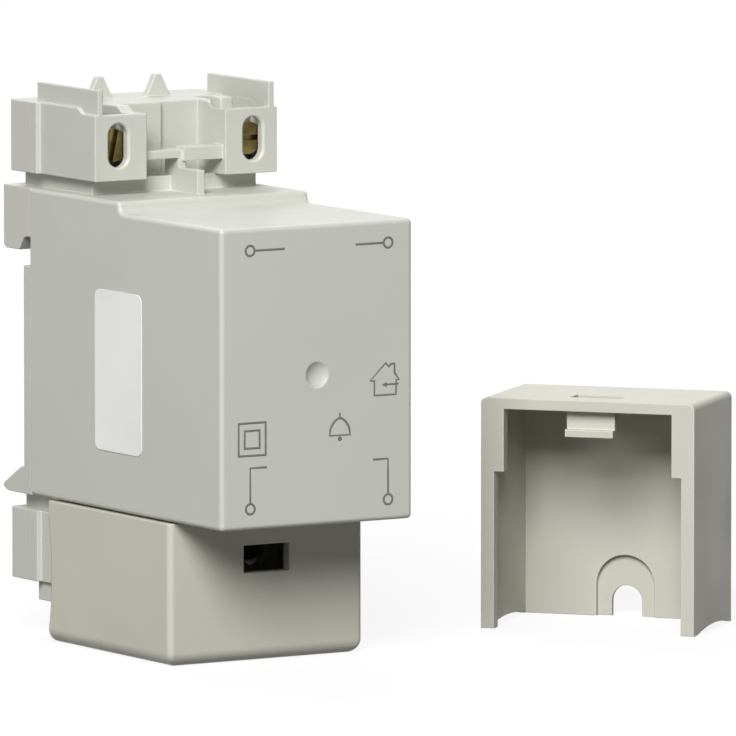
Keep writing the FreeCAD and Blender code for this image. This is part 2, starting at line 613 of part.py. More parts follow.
def clamp(end, side, sign, drive_turn):
    """Screw, cage and tag of one terminal."""
    name = f"{end}_{side}"
    x = f"{sign}{PITCH}"
    z = level(end, "slot_level")
    head = rod(name + "_head", "head_radius", "head_thick", x, HEAD_FRONT, z, ALONG_Y)
    shank = rod(name + "_shank", "shank_radius", "shank_long + head_thick / 2", x,
                f"{HEAD_FRONT} + head_thick / 2", z, ALONG_Y)
    drive = box(name + "_drive", ("0", "drive_width"), ("0", "2 * drive_deep"), ("0", "3 * head_radius"))
    spin = FreeCAD.Rotation(Vector(0, 1, 0), drive_turn)
    angle = math.radians(drive_turn)
    low_x = f"{-math.cos(angle)} * drive_width / 2 - {math.sin(angle)} * 1.5 * head_radius"
    low_z = f"{math.sin(angle)} * drive_width / 2 - {math.cos(angle)} * 1.5 * head_radius"
    place(drive, f"{x} + {low_x}", f"{HEAD_FRONT} - drive_deep", f"{z} + {low_z}", spin)
    finish(less(name + "_screw", joined(name + "_turned", head, shank), drive), f"screw_{name}")
    floor = "pocket_floor + cage_fit"
    outer = across(sign, f"{PITCH} - pocket_width / 2 + cage_fit", f"{PITCH} + pocket_width / 2 - cage_fit")
    cage_front = f"{HEAD_FRONT} + head_thick + cage_gap"
    inner_back = f"{cage_front} + cage_wall + cage_space"
    frame = box(name + "_frame", outer, (cage_front, f"{inner_back} + cage_back"),
                span(end, floor, f"{floor} + cage_high"))
    window = box(name + "_throat",
                 across(sign, f"{PITCH} - pocket_width / 2 + cage_fit + cage_side",
                        f"{PITCH} + pocket_width / 2 - cage_fit - cage_side"),
                 (f"{cage_front} + cage_wall", inner_back), span(end, "0", "flag_high"))
    bore = rod(name + "_bore", "shank_radius + thread_fit", "3 * cage_wall", x,
               f"{cage_front} - cage_wall", z, ALONG_Y)
    finish(less(name + "_cage", frame, window, bore), f"cage_{name}")
    tag = box(name + "_tag", across(sign, f"{PITCH} - tag_width / 2", f"{PITCH} + tag_width / 2"),
              (TAG_FRONT, f"{TAG_FRONT} + tag_thick"), span(end, "-tag_tail", f"{floor} + tag_top"))
    finish(tag, f"tag_{name}")


# The works inside: core, bobbin, windings, cut-out and leads

CORE_LOW = f"{FLOOR} + wall + rib_high + core_gap"


def core():
    """E and I stacks of laminations."""
    ys = [f"{CORE_FRONT} + {i} * core_leg" for i in range(7)]
    back = f"{CORE_LOW} + core_leg"
    top = f"{back} + core_window"
    half = "core_stack / 2"
    outline = [(ys[0], CORE_LOW), (ys[6], CORE_LOW), (ys[6], top), (ys[5], top), (ys[5], back),
               (ys[4], back),
               (ys[4], top), (ys[2], top), (ys[2], back), (ys[1], back), (ys[1], top), (ys[0], top)]
    finish(profile("e_stack", "YZ_Plane", outline, f"-{half}", half), "core_e")
    finish(box("i_stack", (f"-{half}", half), (ys[0], ys[6]), (top, f"{top} + core_leg")), "core_i")


def coil_former():
    """The split bobbin and its two windings."""
    back = f"{CORE_LOW} + core_leg"
    leg = (f"{CORE_FRONT} + 2 * core_leg", f"{CORE_FRONT} + 4 * core_leg")
    window = (f"{CORE_FRONT} + core_leg", f"{CORE_FRONT} + 5 * core_leg")
    half = "core_stack / 2"
    foot, head = f"{back} + flange_reach", f"{back} + core_window - flange_reach"
    middle = f"{back} + core_window / 2"

    def ring(name, grow_x, ys, zs, inner):
        outer = box(name + "_outer", (f"-({grow_x})", grow_x), ys, zs)
        hole = box(name + "_hole", (f"-({half} + {inner})", f"{half} + {inner}"),
                   (f"{leg[0]} - ({inner})", f"{leg[1]} + ({inner})"), (f"{zs[0]} - wall", f"{zs[1]} + wall"))
        return less(name, outer, hole)

    flange_ys = (f"{window[0]} + flange_reach", f"{window[1]} - flange_reach")
    tube_reach = "tube_fit + tube_wall"
    tube = ring("bobbin_tube", f"{half} + {tube_reach}",
                (f"{leg[0]} - ({tube_reach})", f"{leg[1]} + {tube_reach}"), (foot, head), "tube_fit")
    flanges = [ring(f"flange_{name}", FLANGE, flange_ys, (z, f"{z} + flange_thick"), "tube_fit")
               for name, z in (("low", foot), ("middle", f"{middle} - flange_thick / 2"),
                               ("top", f"{head} - flange_thick"))]
    finish(joined("bobbin_whole", tube, *flanges), "bobbin")
    coil_ys = (f"{flange_ys[0]} + winding_back", f"{flange_ys[1]} - winding_back")
    for node, low, high in (("primary_winding", f"{foot} + flange_thick", f"{middle} - flange_thick / 2"),
                            ("secondary_winding", f"{middle} + flange_thick / 2", f"{head} - flange_thick")):
        coil = ring(node + "_ring", f"{FLANGE} - winding_back", coil_ys,
                    (f"{low} + winding_fit", f"{high} - winding_fit"), f"{tube_reach} + winding_fit")
        doc.recompute()
        side = size("body_width") / 2 - size("wall") - size("flange_side") - size("winding_back")
        bend = size("winding_round")
        corner = [(i + 1, bend, bend) for i, edge in enumerate(coil.Shape.Edges)
                  if edge.BoundBox.ZLength > TOUCH and abs(abs(edge.CenterOfMass.x) - side) < TOUCH]
        round_coil = doc.addObject("Part::Fillet", node + "_round")
        round_coil.Base = coil
        round_coil.Edges = corner
        finish(round_coil, node)


def fuse_and_leads():
    """The thermal cut-out behind the core and a lead from each tag to its winding."""
    finish(rod("cut_out", "fuse_radius", "fuse_long", "-fuse_long / 2",
               f"{SEAM} - plate_thick - fuse_radius - fit", "-fuse_level", ALONG_X), "thermal_cutout")
    radius, bend = size("lead_radius"), size("lead_bend")
    coil_back = (-size("face_depth") + size("wall") + size("core_front") + 5 * size("core_leg")
                 - size("flange_reach") - size("winding_back"))
    tag_middle = (size("terminal_setback") - size("face_depth") + size("pocket_front") + size("head_gap")
                  + size("head_thick") + size("shank_long") + size("thread_fit") + size("tag_thick") / 2)
    slant = math.sqrt(0.5)
    for end, out in (("upper", 1), ("lower", -1)):
        top = size("face_high") + size("ledge_rise") if end == "upper" else -size("body_low")
        start_z = top - out * size("tag_tail")
        turn_z = start_z - out * size("lead_drop")
        for side, sign in (("left", -1), ("right", 1)):
            x = sign * size("terminal_pitch") / 2
            start = Vector(x, tag_middle, start_z)
            before = Vector(x, tag_middle, turn_z + out * bend)
            after = Vector(x, tag_middle - bend, turn_z)
            middle = Vector(x, tag_middle - bend + bend * slant, turn_z + out * (bend - bend * slant))
            stop = Vector(x, coil_back + size("fit"), turn_z)
            pieces = (Part.LineSegment(start, before), Part.Arc(before, middle, after),
                      Part.LineSegment(after, stop))
            path = Part.Wire([piece.toShape() for piece in pieces])
            ring = Part.Wire(Part.makeCircle(radius, start, Vector(0, 0, 1)))
            lead = doc.addObject("Part::Feature", f"lead_shape_{end}_{side}")
            lead.Shape = path.makePipeShell([ring], True, False)
            finish(lead, f"lead_{end}_{side}")


def side_label():
    """The blank sticker on the left side."""
    front = f"{FRONT} + label_front"
    points = rect((front, f"{front} + label_wide"), ("-label_low", "label_high - label_low"))
    label = profile("sticker", "YZ_Plane", points, f"-{HALF} - label_thick", f"-{HALF}")
    doc.recompute()
    corners = edges_at(label.Shape, along="X")
    rounded(label, "sticker_fillet", "label_round", corners)
    finish(label, "side_label")


housing()
rear_base()
rail_latch()
latch_spring()
covers()
SLOT_TURNS = {("upper", "left"): 12.0, ("upper", "right"): 90.0,
              ("lower", "left"): 40.0, ("lower", "right"): 65.0}
for end_name in ENDS:
    for side_name, side_sign in SIDES:
        clamp(end_name, side_name, side_sign, SLOT_TURNS[end_name, side_name])
core()
coil_former()
fuse_and_leads()
side_label()
doc.recompute()

failed = [thing.Name for thing in doc.Objects if "Invalid" in thing.State or "Error" in thing.State]
if failed:
    raise RuntimeError("not built: " + ", ".join(failed))
for thing in NODES:
    if thing.Shape.isNull() or not thing.Shape.isValid():
        raise RuntimeError("bad shape: " + thing.Label)
for thing in NODES:
    solid_count = len(thing.Shape.Solids)
    print(thing.Label, solid_count, round(thing.Shape.Volume, 2), thing.Shape.BoundBox)
    thing.Shape.exportStep(f"parts/{thing.Label}.step")
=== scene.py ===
"""Looks of a two-module bell transformer for a 35 mm rail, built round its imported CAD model.

The CAD nodes keep their shapes and get procedural finishes. The marks printed on the front, a
small upstand and the latch's coil are modelled here. All stands in the CAD model's own frame. The
sizes of pieces are in mm, and those of materials, lamps and camera in metres.
"""

from __future__ import annotations

import json
import logging
import math
from dataclasses import dataclass, field
from enum import Enum

import bpy
from mathutils import Matrix, Vector

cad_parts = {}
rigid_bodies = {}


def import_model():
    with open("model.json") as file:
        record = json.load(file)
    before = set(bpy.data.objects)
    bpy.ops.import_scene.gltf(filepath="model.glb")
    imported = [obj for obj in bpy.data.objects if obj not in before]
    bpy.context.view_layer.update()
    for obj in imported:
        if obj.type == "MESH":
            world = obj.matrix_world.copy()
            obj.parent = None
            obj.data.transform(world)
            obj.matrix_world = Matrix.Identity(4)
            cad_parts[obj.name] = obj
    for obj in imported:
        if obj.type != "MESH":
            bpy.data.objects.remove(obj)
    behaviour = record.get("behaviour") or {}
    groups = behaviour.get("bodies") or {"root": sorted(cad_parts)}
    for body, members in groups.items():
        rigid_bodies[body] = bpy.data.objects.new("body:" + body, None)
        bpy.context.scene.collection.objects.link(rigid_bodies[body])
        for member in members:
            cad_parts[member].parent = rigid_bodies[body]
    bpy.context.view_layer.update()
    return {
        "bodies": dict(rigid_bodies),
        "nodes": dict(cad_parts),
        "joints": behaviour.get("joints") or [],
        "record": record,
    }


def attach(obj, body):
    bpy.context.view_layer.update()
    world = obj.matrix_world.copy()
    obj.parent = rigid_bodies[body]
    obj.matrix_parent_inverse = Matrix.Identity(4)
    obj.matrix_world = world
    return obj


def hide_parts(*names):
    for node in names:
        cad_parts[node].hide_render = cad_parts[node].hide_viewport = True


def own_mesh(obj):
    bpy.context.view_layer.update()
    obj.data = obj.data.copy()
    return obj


LOG = logging.getLogger("bell_transformer")
MM = 0.001
SMOOTH_ANGLE = math.radians(40)

Colour = tuple[float, float, float, float]
Point = tuple[float, float]
Span = tuple[float, float]

WHITE: Colour = (1.0, 1.0, 1.0, 1.0)
CLOUD_SPAN: Span = (0.3, 0.7)
PATCH_SPAN: Span = (0.25, 0.7)
# How sharply a surface turns before it counts as edge: painted highlight on plastic, wear on metal and
# paper.
WEAR_AND_HIGHLIGHT_SPAN: Span = (0.995, 0.86)
GROOVE_SPAN: Span = (0.0, 0.35)


def srgb(red: int, green: int, blue: int) -> Colour:
    """Turn a display colour into the linear colour that a shader takes.

    Args:
        red: Red, 0 to 255.
        green: Green, 0 to 255.
        blue: Blue, 0 to 255.

    Returns:
        The colour in linear light, with full alpha.
    """
    def linear(value: int) -> float:
        """One channel in linear light."""
        share = value / 255
        return share / 12.92 if share <= 0.04045 else ((share + 0.055) / 1.055) ** 2.4

    return (linear(red), linear(green), linear(blue), 1.0)


class Graph:
    """Adds and links the nodes of one material or node group."""

    def __init__(self, tree: bpy.types.NodeTree) -> None:
        """Keep the tree and clear it.

        Args:
            tree: The node tree to build.
        """
        self.tree = tree
        tree.nodes.clear()

    def add(self, kind: str, inputs: dict[str | int, object] | None = None,
            **settings: object) -> bpy.types.Node:
        """Add one node.

        Args:
            kind: The node's type name, without its ShaderNode prefix.
            inputs: Values and links for its sockets, by name or number.
            settings: The node's own properties.

        Returns:
            The new node.
        """
        node = self.tree.nodes.new(kind if kind.startswith("Node") else "ShaderNode" + kind)
        for name, value in settings.items():
            setattr(node, name, value)
        for socket, value in (inputs or {}).items():
            self.feed(node, socket, value)
        return node

    def feed(self, node: bpy.types.Node, socket: str | int, value: object) -> None:
        """Set or link one input.

        Args:
            node: The node that receives.
            socket: The input's name or number.
            value: A plain value, or the output socket to link from.
        """
        target = node.inputs[socket]
        if isinstance(value, bpy.types.NodeSocket):
            self.tree.links.new(value, target)
        else:
            target.default_value = value

    def ramp(self, factor: bpy.types.NodeSocket, low: float, high: float, start: float = 0.0,
             end: float = 1.0) -> bpy.types.NodeSocket:
        """Stretch a value from one range to another.

        Args:
            factor: The value to stretch.
            low: The value that gives start.
            high: The value that gives end.
            start: The lower result.
            end: The upper result.

        Returns:
            The output with the stretched value.
        """
        node = self.add("MapRange", {"Value": factor, "From Min": low, "From Max": high,
                                     "To Min": start, "To Max": end})
        return node.outputs["Result"]

    def mix(self, factor: object, first: object, second: object) -> bpy.types.NodeSocket:
        """Mix two colours.

        Args:
            factor: The share of the second colour.
            first: The first colour.
            second: The second colour.

        Returns:
            The mixed colour's output.
        """
        node = self.add("Mix", data_type="RGBA")
        for socket, value in (("Factor_Float", factor), ("A_Color", first), ("B_Color", second)):
            target = next(i for i in node.inputs if i.identifier == socket)
            if isinstance(value, bpy.types.NodeSocket):
                self.tree.links.new(value, target)
            else:
                target.default_value = value
        return next(o for o in node.outputs if o.identifier == "Result_Color")


class Effect(Enum):
    """The shared effects, each a node group that is built once."""

    GRAIN = "moulded_grain"
    EDGES = "edge_wear_and_highlight"
    DRIFT = "colour_drift"
    BRUSH = "drawn_metal"
    TURNS = "stacked_lines"


def new_group(name: str, inputs: dict[str, tuple[str, object]],
              outputs: dict[str, str]) -> bpy.types.NodeTree:
    """Make an empty node group with its named sockets, the first of them for the place.

    Args:
        name: The group's name.
        inputs: The socket type and first value of each further input.
        outputs: The socket type of each output.

    Returns:
        The group's tree.
    """
    tree = bpy.data.node_groups.new(name, "ShaderNodeTree")
    for label, (kind, value) in ({"Vector": ("Vector", (0, 0, 0))} | inputs).items():
        socket = tree.interface.new_socket(label, in_out="INPUT", socket_type="NodeSocket" + kind)
        socket.default_value = value
    for label, kind in outputs.items():
        tree.interface.new_socket(label, in_out="OUTPUT", socket_type="NodeSocket" + kind)
    return tree


def grain_group() -> bpy.types.NodeTree:
    """Spark-eroded mould grain: fine pits, with broad soft sinks under them.

    Returns:
        The group's tree.
    """
    tree = new_group(Effect.GRAIN.value, {"Scale": ("Float", 2400.0), "Sink": ("Float", 0.5)},
                     {"Height": "Float", "Mottle": "Float"})
    graph = Graph(tree)
    into, out = graph.add("NodeGroupInput"), graph.add("NodeGroupOutput")
    place = into.outputs["Vector"]
    fine = graph.add("TexNoise", {"Vector": place, "Scale": into.outputs["Scale"], "Detail": 3.0,
                                  "Roughness": 0.6})
    broad = graph.add("TexNoise", {"Vector": place, "Scale": 90.0, "Detail": 2.0})
    sunk = graph.add("Math", {0: broad.outputs["Fac"], 1: into.outputs["Sink"]}, operation="MULTIPLY")
    height = graph.add("Math", {0: fine.outputs["Fac"], 1: sunk.outputs[0]}, operation="ADD")
    graph.feed(out, "Height", height.outputs[0])
    graph.feed(out, "Mottle", broad.outputs["Fac"])
    return tree


def edge_group() -> bpy.types.NodeTree:
    """A mask of edges, broken up by noise: on plastic it places a painted highlight, on metal and paper
    wear and soil.

    Returns:
        The group's tree.
    """
    tree = new_group(Effect.EDGES.value, {"Radius": ("Float", 0.0004), "Breakup": ("Float", 0.5)},
                     {"Mask": "Float"})
    graph = Graph(tree)
    into, out = graph.add("NodeGroupInput"), graph.add("NodeGroupOutput")
    soft = graph.add("Bevel", {"Radius": into.outputs["Radius"]}, samples=4)
    sharp = graph.add("NewGeometry")
    turn = graph.add("VectorMath", {0: soft.outputs["Normal"], 1: sharp.outputs["Normal"]},
                     operation="DOT_PRODUCT")
    # Near an edge: on plastic this drives a painted highlight, on metal and paper wear and soil.
    near_edge = graph.ramp(turn.outputs["Value"], *WEAR_AND_HIGHLIGHT_SPAN)
    noise = graph.add("TexNoise", {"Vector": into.outputs["Vector"], "Scale": 420.0, "Detail": 3.0})
    patchy = graph.ramp(noise.outputs["Fac"], *PATCH_SPAN)
    spread = graph.add("Math", {0: into.outputs["Breakup"], 1: patchy}, operation="MULTIPLY")
    kept = graph.add("Math", {0: 1.0, 1: into.outputs["Breakup"]}, operation="SUBTRACT")
    share = graph.add("Math", {0: kept.outputs[0], 1: spread.outputs[0]}, operation="ADD")
    mask = graph.add("Math", {0: near_edge, 1: share.outputs[0]}, operation="MULTIPLY", use_clamp=True)
    graph.feed(out, "Mask", mask.outputs[0])
    return tree


def drift_group() -> bpy.types.NodeTree:
    """Slow drift of a colour towards a second tone, with finer cloud in it.

    Returns:
        The group's tree.
    """
    tree = new_group(Effect.DRIFT.value,
                     {"Base": ("Color", WHITE), "Tone": ("Color", WHITE), "Scale": ("Float", 30.0)},
                     {"Color": "Color", "Cloud": "Float"})
    graph = Graph(tree)
    into, out = graph.add("NodeGroupInput"), graph.add("NodeGroupOutput")
    cloud = graph.add("TexNoise", {"Vector": into.outputs["Vector"], "Scale": into.outputs["Scale"],
                                   "Detail": 4.0, "Roughness": 0.55})
    share = graph.ramp(cloud.outputs["Fac"], *CLOUD_SPAN)
    graph.feed(out, "Color", graph.mix(share, into.outputs["Base"], into.outputs["Tone"]))
    graph.feed(out, "Cloud", share)
    return tree


def brush_group() -> bpy.types.NodeTree:
    """Fine lines along one direction, as turned or drawn metal has.

    Returns:
        The group's tree.
    """
    tree = new_group(Effect.BRUSH.value, {"Scale": ("Float", 900.0)}, {"Height": "Float"})
    graph = Graph(tree)
    into, out = graph.add("NodeGroupInput"), graph.add("NodeGroupOutput")
    squeezed = graph.add("Mapping", {"Vector": into.outputs["Vector"], "Scale": (1.0, 0.04, 1.0)})
    lines = graph.add("TexNoise", {"Vector": squeezed.outputs["Vector"], "Scale": into.outputs["Scale"],
                                   "Detail": 3.0, "Roughness": 0.7})
    graph.feed(out, "Height", lines.outputs["Fac"])
    return tree


def turns_group() -> bpy.types.NodeTree:
    """Even parallel lines with a little wander, for turns of wire and stacked sheets.

    Returns:
        The group's tree.
    """
    tree = new_group(Effect.TURNS.value, {"Pitch": ("Float", 0.0005), "Wander": ("Float", 0.3)},
                     {"Height": "Float", "Shade": "Float"})
    graph = Graph(tree)
    into, out = graph.add("NodeGroupInput"), graph.add("NodeGroupOutput")
    parts = graph.add("SeparateXYZ", {"Vector": into.outputs["Vector"]})
    count = graph.add("Math", {0: parts.outputs["Z"], 1: into.outputs["Pitch"]}, operation="DIVIDE")
    noise = graph.add("TexNoise", {"Vector": into.outputs["Vector"], "Scale": 160.0, "Detail": 2.0})
    shift = graph.add("Math", {0: noise.outputs["Fac"], 1: into.outputs["Wander"]}, operation="MULTIPLY")
    place = graph.add("Math", {0: count.outputs[0], 1: shift.outputs[0]}, operation="ADD")
    wave = graph.add("Math", {0: place.outputs[0], 1: 1.0}, operation="PINGPONG")
    shade = graph.ramp(wave.outputs[0], *GROOVE_SPAN)
    graph.feed(out, "Height", wave.outputs[0])
    graph.feed(out, "Shade", shade)
    return tree


BUILDERS = {Effect.GRAIN: grain_group, Effect.EDGES: edge_group, Effect.DRIFT: drift_group,
            Effect.BRUSH: brush_group, Effect.TURNS: turns_group}


class Surface:
    """The start of a material: its graph, shader and Object coordinates."""

    def __init__(self, name: str) -> None:
        """Make the material with its shader and coordinates.

        Args:
            name: The material's name.
        """
        self.material = bpy.data.materials.new(name)
        self.material.use_nodes = True
        self.graph = Graph(self.material.node_tree)
        self.shader = self.graph.add("BsdfPrincipled")
        output = self.graph.add("OutputMaterial")
        self.graph.feed(output, "Surface", self.shader.outputs["BSDF"])
        self.place = self.graph.add("TexCoord").outputs["Object"]

    def effect(self, kind: Effect, inputs: dict[str, object] | None = None) -> bpy.types.Node:
        """Place one shared effect, building its group the first time.

        Args:
            kind: The effect.
            inputs: Values for the group's inputs.

        Returns:
            The group node.
        """
        tree = bpy.data.node_groups.get(kind.value) or BUILDERS[kind]()
        node = self.graph.add("Group", node_tree=tree)
        self.graph.feed(node, "Vector", self.place)
        for socket, value in (inputs or {}).items():
            self.graph.feed(node, socket, value)
        return node

    def relief(self, height: bpy.types.NodeSocket, depth: float,
               under: bpy.types.NodeSocket | None = None) -> bpy.types.NodeSocket:
        """Raise the surface by a height.

        Args:
            height: The height, 0 to 1.
            depth: What a height of 1 stands proud, in metres.
            under: A normal to build on.

        Returns:
            The normal's output.
        """
        bump = self.graph.add("Bump", {"Height": height, "Distance": depth, "Strength": 1.0})
        if under is not None:
            self.graph.feed(bump, "Normal", under)
        return bump.outputs["Normal"]

    def set(self, **values: object) -> None:
        """Set or link the shader's inputs, with underscores for spaces in their names."""
        for name, value in values.items():
            self.graph.feed(self.shader, name.replace("_", " "), value)


@dataclass(frozen=True)
class MouldedPlastic:
    """Satin moulded plastic with mould grain, colour drift and a painted highlight along its edges."""

    name: str
    colour: Colour
    tone: Colour
    edge_highlight: Colour
    roughness: float = 0.42
    smoother: float = 0.05
    rougher: float = 0.06
    grain: float = 2600.0
    sink: float = 0.6
    depth: float = 0.000012
    drift: float = 28.0
    corner: float = 0.0003
    highlight_reach: float = 1.6
    highlight_breaks: float = 0.35
    highlight_strength: float = 0.5
    index: float = 1.52
    specular: float = 0.5

    def build(self) -> bpy.types.Material:
        """Build the plastic's material.

        Returns:
            The material.
        """
        made = Surface(self.name)
        graph = made.graph
        drift = made.effect(Effect.DRIFT, {"Base": self.colour, "Tone": self.tone, "Scale": self.drift})
        edges = made.effect(Effect.EDGES, {"Radius": self.corner * self.highlight_reach,
                                           "Breakup": self.highlight_breaks})
        # Painted highlight: the colour turns lighter towards each edge.
        highlighted = graph.ramp(edges.outputs["Mask"], 0.0, 1.0, 0.0, self.highlight_strength)
        grain = made.effect(Effect.GRAIN, {"Scale": self.grain, "Sink": self.sink})
        rough = graph.ramp(grain.outputs["Mottle"], *CLOUD_SPAN, self.roughness - self.smoother,
                           self.roughness + self.rougher)
        bevel = graph.add("Bevel", {"Radius": self.corner}, samples=6)
        made.set(Base_Color=graph.mix(highlighted, drift.outputs["Color"], self.edge_highlight), Roughness=rough,
                 Normal=made.relief(grain.outputs["Height"], self.depth, bevel.outputs["Normal"]),
                 IOR=self.index, Specular_IOR_Level=self.specular)
        return made.material


@dataclass(frozen=True)
class Metal:
    """Drawn, turned or stamped metal, with dull patches and brighter edges."""

    name: str
    colour: Colour
    dull: Colour
    roughness: float
    smoother: float = 0.05
    rougher: float = 0.12
    lines: float = 900.0
    depth: float = 0.00001
    patches: float = 260.0
    edge_reach: float = 0.00025
    edge_breaks: float = 0.4

    def build(self) -> bpy.types.Material:
        """Build the metal's material.

        Returns:
            The material.
        """
        made = Surface(self.name)
        graph = made.graph
        drift = made.effect(Effect.DRIFT, {"Base": self.colour, "Tone": self.dull,
                                           "Scale": self.patches})
        edges = made.effect(Effect.EDGES, {"Radius": self.edge_reach, "Breakup": self.edge_breaks})
        brush = made.effect(Effect.BRUSH, {"Scale": self.lines})
        shine = graph.mix(edges.outputs["Mask"], drift.outputs["Color"], self.colour)
        rough = graph.ramp(drift.outputs["Cloud"], 0.0, 1.0, self.roughness - self.smoother,
                           self.roughness + self.rougher)
        made.set(Base_Color=shine, Metallic=1.0, Roughness=rough,
                 Normal=made.relief(brush.outputs["Height"], self.depth))
        return made.material


@dataclass(frozen=True)
class Lines:
    """Parallel turns of wire, or the edges of stacked sheets."""

    name: str
    colour: Colour
    gap: Colour
    pitch: float
    wander: float
    metallic: float
    roughness: float
    coat: float = 0.0
    rougher: float = 0.1
    drift: float = 120.0
    drift_share: float = 0.3
    relief_share: float = 0.4

    def build(self) -> bpy.types.Material:
        """Build the lined material.

        Returns:
            The material.
        """
        made = Surface(self.name)
        graph = made.graph
        turns = made.effect(Effect.TURNS, {"Pitch": self.pitch, "Wander": self.wander})
        drift = made.effect(Effect.DRIFT, {"Base": self.colour, "Tone": self.gap, "Scale": self.drift})
        rich = graph.mix(self.drift_share, self.colour, drift.outputs["Color"])
        rough = graph.ramp(drift.outputs["Cloud"], 0.0, 1.0, self.roughness,
                           self.roughness + self.rougher)
        made.set(Base_Color=graph.mix(turns.outputs["Shade"], self.gap, rich), Roughness=rough,
                 Metallic=self.metallic, Coat_Weight=self.coat,
                 Normal=made.relief(turns.outputs["Height"], self.pitch * self.relief_share))
        return made.material


@dataclass(frozen=True)
class Paper:
    """A coated paper sticker with faint fibre and a slightly soiled rim."""

    name: str
    colour: Colour
    rim: Colour
    roughness: Span = (0.5, 0.6)
    fibre: float = 3800.0
    sink: float = 0.3
    depth: float = 0.000008
    drift: float = 60.0
    drift_share: float = 0.4
    soil_reach: float = 0.0004
    soil_breaks: float = 0.6
    soil: float = 0.6

    def build(self) -> bpy.types.Material:
        """Build the sticker's material.

        Returns:
            The material.
        """
        made = Surface(self.name)
        graph = made.graph
        fibre = made.effect(Effect.GRAIN, {"Scale": self.fibre, "Sink": self.sink})
        drift = made.effect(Effect.DRIFT, {"Base": self.colour, "Tone": self.rim, "Scale": self.drift})
        clean = graph.mix(self.drift_share, self.colour, drift.outputs["Color"])
        edges = made.effect(Effect.EDGES, {"Radius": self.soil_reach, "Breakup": self.soil_breaks})
        soiled = graph.ramp(edges.outputs["Mask"], 0.0, 1.0, 0.0, self.soil)
        made.set(Base_Color=graph.mix(soiled, clean, self.rim),
                 Roughness=graph.ramp(drift.outputs["Cloud"], 0.0, 1.0, *self.roughness),
                 Normal=made.relief(fibre.outputs["Height"], self.depth))
        return made.material


@dataclass(frozen=True)
class Ink:
    """Pad-printed grey ink, thinner in places."""

    name: str
    colour: Colour
    thin: Colour
    roughness: Span = (0.5, 0.62)
    speckle: float = 5200.0
    sink: float = 0.2
    depth: float = 0.000006
    drift: float = 900.0
    drift_share: float = 0.6

    def build(self) -> bpy.types.Material:
        """Build the ink's material.

        Returns:
            The material.
        """
        made = Surface(self.name)
        graph = made.graph
        drift = made.effect(Effect.DRIFT, {"Base": self.colour, "Tone": self.thin, "Scale": self.drift})
        speckle = made.effect(Effect.GRAIN, {"Scale": self.speckle, "Sink": self.sink})
        made.set(Base_Color=graph.mix(self.drift_share, self.colour, drift.outputs["Color"]),
                 Roughness=graph.ramp(speckle.outputs["Mottle"], *CLOUD_SPAN, *self.roughness),
                 Normal=made.relief(speckle.outputs["Height"], self.depth))
        return made.material


PALE = srgb(199, 200, 192)
PALE_TONE = srgb(195, 196, 187)
# Lighter plastic colour along edges: a painted highlight.
PALE_HIGHLIGHT = srgb(238, 238, 229)

# The third colour of each plastic is the painted highlight along its edges.
FINISHES = {
    "housing": MouldedPlastic("housing_plastic", PALE, PALE_TONE, PALE_HIGHLIGHT),
    "base": MouldedPlastic("base_plastic", srgb(199, 198, 189), PALE_TONE, PALE_HIGHLIGHT, roughness=0.45),
    "cover": MouldedPlastic("cover_plastic", srgb(200, 198, 186), srgb(195, 193, 181), PALE_HIGHLIGHT,
                            roughness=0.46, depth=0.000016),
    "latch": MouldedPlastic("latch_plastic", srgb(188, 187, 176), srgb(182, 180, 168), PALE_HIGHLIGHT,
                            roughness=0.38),
    "bobbin": MouldedPlastic("bobbin_nylon", srgb(226, 222, 208), srgb(214, 208, 190),
                             srgb(238, 235, 224), roughness=0.34, depth=0.000006),
    "cutout": MouldedPlastic("cutout_case", srgb(206, 204, 198), srgb(190, 188, 180),
                             srgb(222, 220, 214), roughness=0.3, depth=0.000004),
    "lead": MouldedPlastic("lead_sleeve", srgb(164, 54, 44), srgb(148, 44, 36), srgb(186, 84, 70),
                           roughness=0.36, grain=900.0, depth=0.000006),
    "label": Paper("sticker_paper", srgb(250, 250, 249), srgb(230, 229, 223)),
    "spring": Metal("spring_wire", srgb(206, 206, 204), srgb(150, 150, 148), roughness=0.25),
    "laminations": Lines("sheet_stack", srgb(112, 114, 118), srgb(52, 50, 50), pitch=0.0005,
                         wander=0.12, metallic=0.8, roughness=0.42),
    "primary_copper": Lines("primary_wire", srgb(178, 84, 44), srgb(84, 30, 14), pitch=0.00018,
                            wander=0.4, metallic=0.7, roughness=0.3, coat=0.4),
    "secondary_copper": Lines("secondary_wire", srgb(190, 98, 52), srgb(92, 36, 18), pitch=0.0009,
                              wander=0.25, metallic=0.7, roughness=0.28, coat=0.4),
    "tag": Metal("stamped_tag", srgb(206, 182, 120), srgb(150, 124, 74), roughness=0.32),
    "screw_brass": Metal("turned_brass", srgb(134, 119, 74), srgb(72, 62, 36), roughness=0.34,
                         lines=1500.0),
    "cage_steel": Metal("plated_cage", srgb(198, 196, 188), srgb(146, 142, 130), roughness=0.34),
    "print": Ink("pad_print", srgb(104, 105, 102), srgb(126, 126, 120)),
}


def deselect() -> None:
    """Leave nothing selected, as every operator here needs."""
    if bpy.context.object is not None and bpy.context.object.mode != "OBJECT":
        bpy.ops.object.mode_set(mode="OBJECT")
    bpy.ops.object.select_all(action="DESELECT")


def activate(thing: bpy.types.Object) -> None:
    """Select one object and make it the active one.

    Args:
        thing: The object.
    """
    deselect()
    thing.select_set(True)
    bpy.context.view_layer.objects.active = thing


SQUARES = (((-14.3, -10.15), (-9.4, -5.05)), ((-13.2, -9.0), (-10.5, -6.25)))
HOUSE = [(9.7, 0.3), (12.55, 2.95), (13.2, 2.35), (13.45, 2.75), (14.2, 2.75), (14.2, 1.35),
         (15.0, 0.25), (14.5, 0.25), (14.45, -2.05), (10.5, -2.05), (10.5, 0.25)]
ARROW_SHAFT = [(14.95, -0.4), (12.0, -0.45)]
ARROW_HEAD = [(12.7, -0.15), (12.0, -0.45), (12.7, -0.75)]


